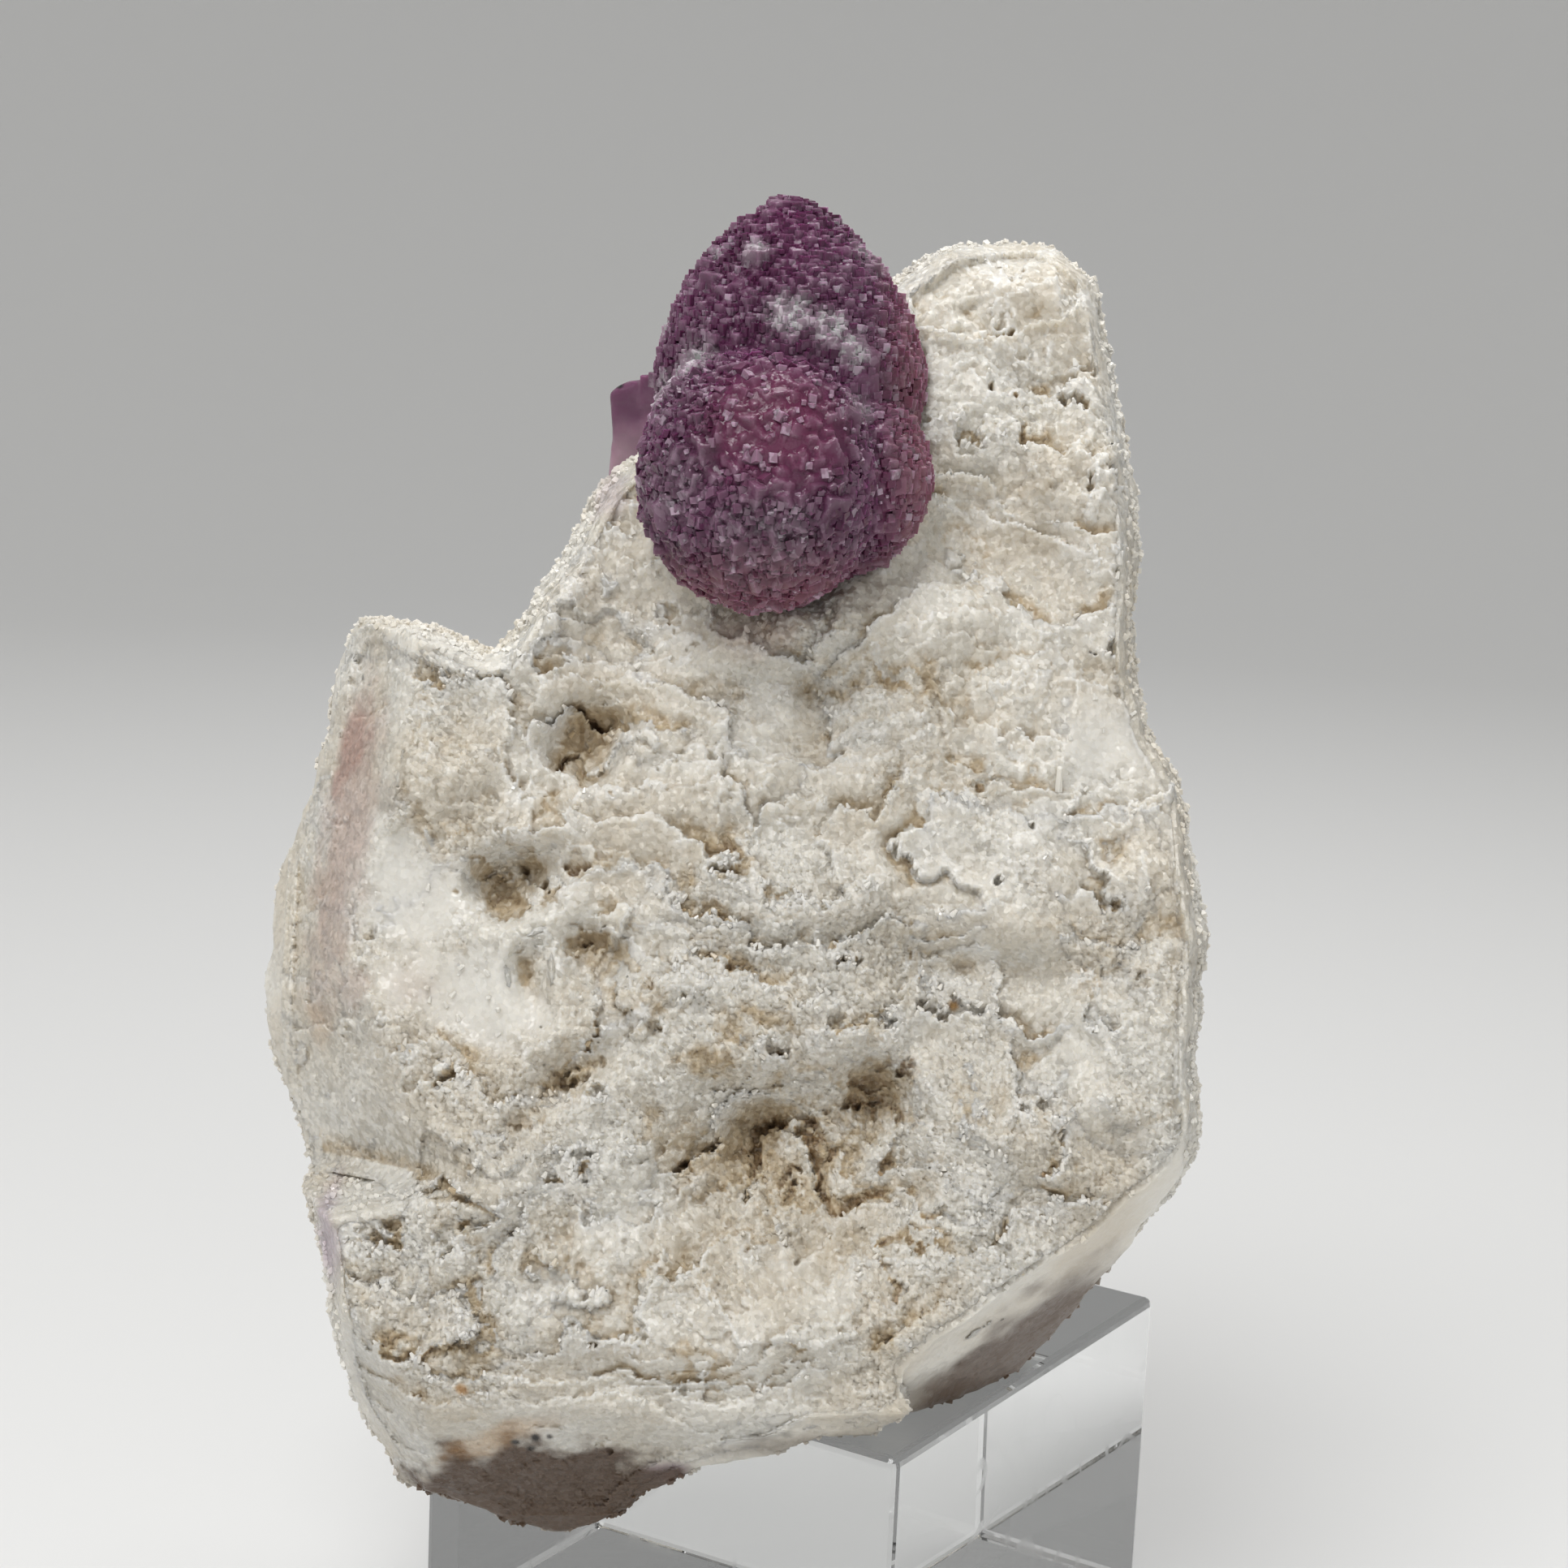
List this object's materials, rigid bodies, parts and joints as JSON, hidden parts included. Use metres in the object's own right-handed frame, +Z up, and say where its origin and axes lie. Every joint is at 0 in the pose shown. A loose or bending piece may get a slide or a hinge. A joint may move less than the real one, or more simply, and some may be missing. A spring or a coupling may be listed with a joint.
{
  "type": "fluorite on quartz matrix",
  "caption": "Mineral specimen: a stepped purple fluorite crystal on a slab of white sugary quartz, resting upright on a clear acrylic block.",
  "frame": {"origin": "middle of the acrylic block's underside, on the surface it stands on", "axes": "+Z up, +X to the right and -Y towards a viewer who faces the druzy side with the purple crystal"},
  "size_m": [0.0501, 0.0416, 0.0799],
  "materials": {
    "druzy_quartz": "milky quartz under a sugary crust of tiny crystals, tan to brown in the pits",
    "purple_fluorite": "translucent purple to magenta, stepped in tiny cubes, frosted on top",
    "pink_fluorite": "translucent lilac to pink, smooth faces with rounded corners",
    "clear_acrylic": "clear polished acrylic with a few fine scratches"
  },
  "bodies": {
    "root": {"matrix": "druzy_quartz", "fluorite_crystal": "purple_fluorite", "side_crystal": "pink_fluorite", "acrylic_block": "clear_acrylic"}
  },
  "joints": []
}
